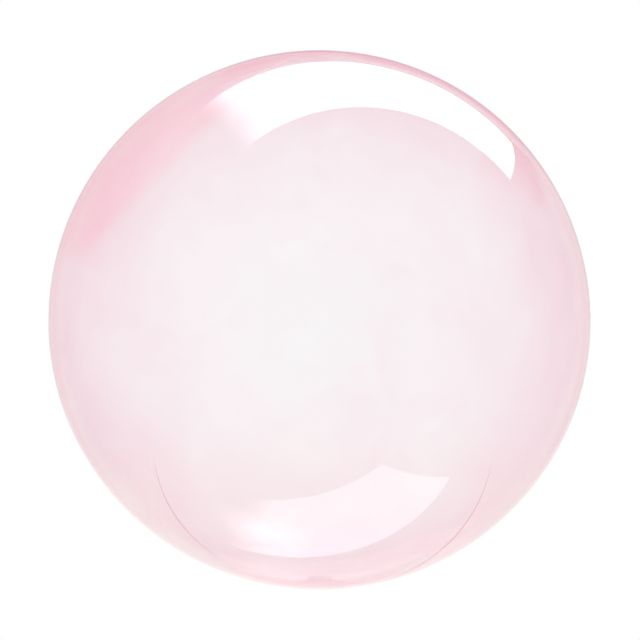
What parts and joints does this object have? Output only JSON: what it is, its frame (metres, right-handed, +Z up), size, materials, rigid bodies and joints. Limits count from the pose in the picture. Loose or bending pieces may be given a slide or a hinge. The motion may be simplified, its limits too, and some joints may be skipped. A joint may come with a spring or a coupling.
{
  "type": "bubble balloon",
  "caption": "Clear pink bubble balloon: a round, sealed, air-filled film resting on a small flat spot, with its flat filling neck folded under it towards the back.",
  "frame": {"origin": "centre of the flat spot that the balloon rests on, which is the bottom centre of its box", "axes": "+Z up through the crown, -Y towards the front shown in the picture, +Y along the folded neck"},
  "size_m": [0.6, 0.6, 0.594],
  "materials": {
    "film": "clear glossy film with a pale pink tint"
  },
  "bodies": {
    "root": {"balloon": "film"}
  },
  "joints": []
}
